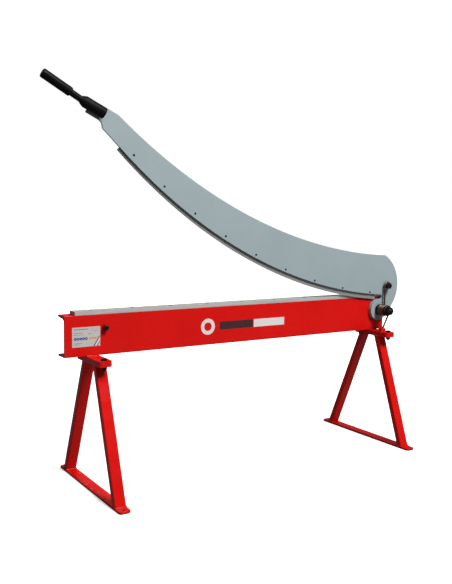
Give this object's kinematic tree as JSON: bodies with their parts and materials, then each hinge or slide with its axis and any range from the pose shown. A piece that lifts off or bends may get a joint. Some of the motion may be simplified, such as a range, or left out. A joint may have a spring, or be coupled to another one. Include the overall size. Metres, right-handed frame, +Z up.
{
  "type": "hand lever shear",
  "caption": "Long hand lever shear for sheet metal: a curved blade arm on a side pivot with return spring, over a channel beam on two A-frame stands.",
  "frame": {"origin": "middle of the machine's outline on the floor, under the feet", "axes": "+X along the beam towards the pivot, +Y from the operator's side to the back, +Z up"},
  "size_m": [1.5896, 0.533, 1.3877],
  "materials": {
    "red_paint": "gloss",
    "grey_paint": "satin",
    "blade_steel": "ground",
    "black_steel": "black oxide",
    "black_paint": "semi-gloss",
    "spring_steel": "oil tempered",
    "grip_plastic": "semi-gloss",
    "label_film": "satin"
  },
  "bodies": {
    "frame": {"beam_channel": "red_paint", "lower_blade": "blade_steel", "lower_blade_screw_1": "black_steel", "lower_blade_screw_2": "black_steel", "lower_blade_screw_3": "black_steel", "lower_blade_screw_4": "black_steel", "lower_blade_screw_5": "black_steel", "lower_blade_screw_6": "black_steel", "lower_blade_screw_7": "black_steel", "lower_blade_screw_8": "black_steel", "lower_blade_screw_9": "black_steel", "cross_plate_left": "red_paint", "stand_top_plate_left": "red_paint", "front_leg_left": "red_paint", "back_leg_left": "red_paint", "foot_bar_left": "red_paint", "cross_plate_right": "red_paint", "stand_top_plate_right": "red_paint", "front_leg_right": "red_paint", "back_leg_right": "red_paint", "foot_bar_right": "red_paint", "stand_bolt_1": "black_steel", "stand_bolt_2": "black_steel", "stand_bolt_3": "black_steel", "stand_bolt_4": "black_steel", "stand_nut_1": "black_steel", "stand_nut_2": "black_steel", "stand_nut_3": "black_steel", "stand_nut_4": "black_steel", "pivot_bush": "black_steel", "pivot_bolt": "black_steel", "pivot_washer": "black_steel", "pivot_collar": "black_steel", "pivot_nut": "black_steel", "stop_bolt": "black_steel", "stop_nut": "black_steel", "rating_plate": "label_film", "spring_anchor": "red_paint", "return_spring": "spring_steel"},
    "arm": {"arm_plate": "grey_paint", "upper_blade": "blade_steel", "arm_screw_1": "black_steel", "arm_screw_2": "black_steel", "arm_screw_3": "black_steel", "arm_screw_4": "black_steel", "arm_screw_5": "black_steel", "arm_screw_6": "black_steel", "arm_screw_7": "black_steel", "arm_screw_8": "black_steel", "arm_screw_9": "black_steel", "pivot_spacer": "grey_paint", "handle_socket": "black_paint", "handle_rod": "black_paint", "handle_grip": "grip_plastic", "spring_hook_bolt": "black_steel"}
  },
  "joints": [
    {"name": "arm_hinge", "type": "hinge", "parent": "frame", "child": "arm", "pos_m": [0.68935, -0.0291, 0.553], "axis": [0, -1, 0], "range_deg": [-15, 24], "stiffness_Nm_per_rad": 100, "springref_deg": -63.03, "deforming": ["return_spring"]}
  ]
}
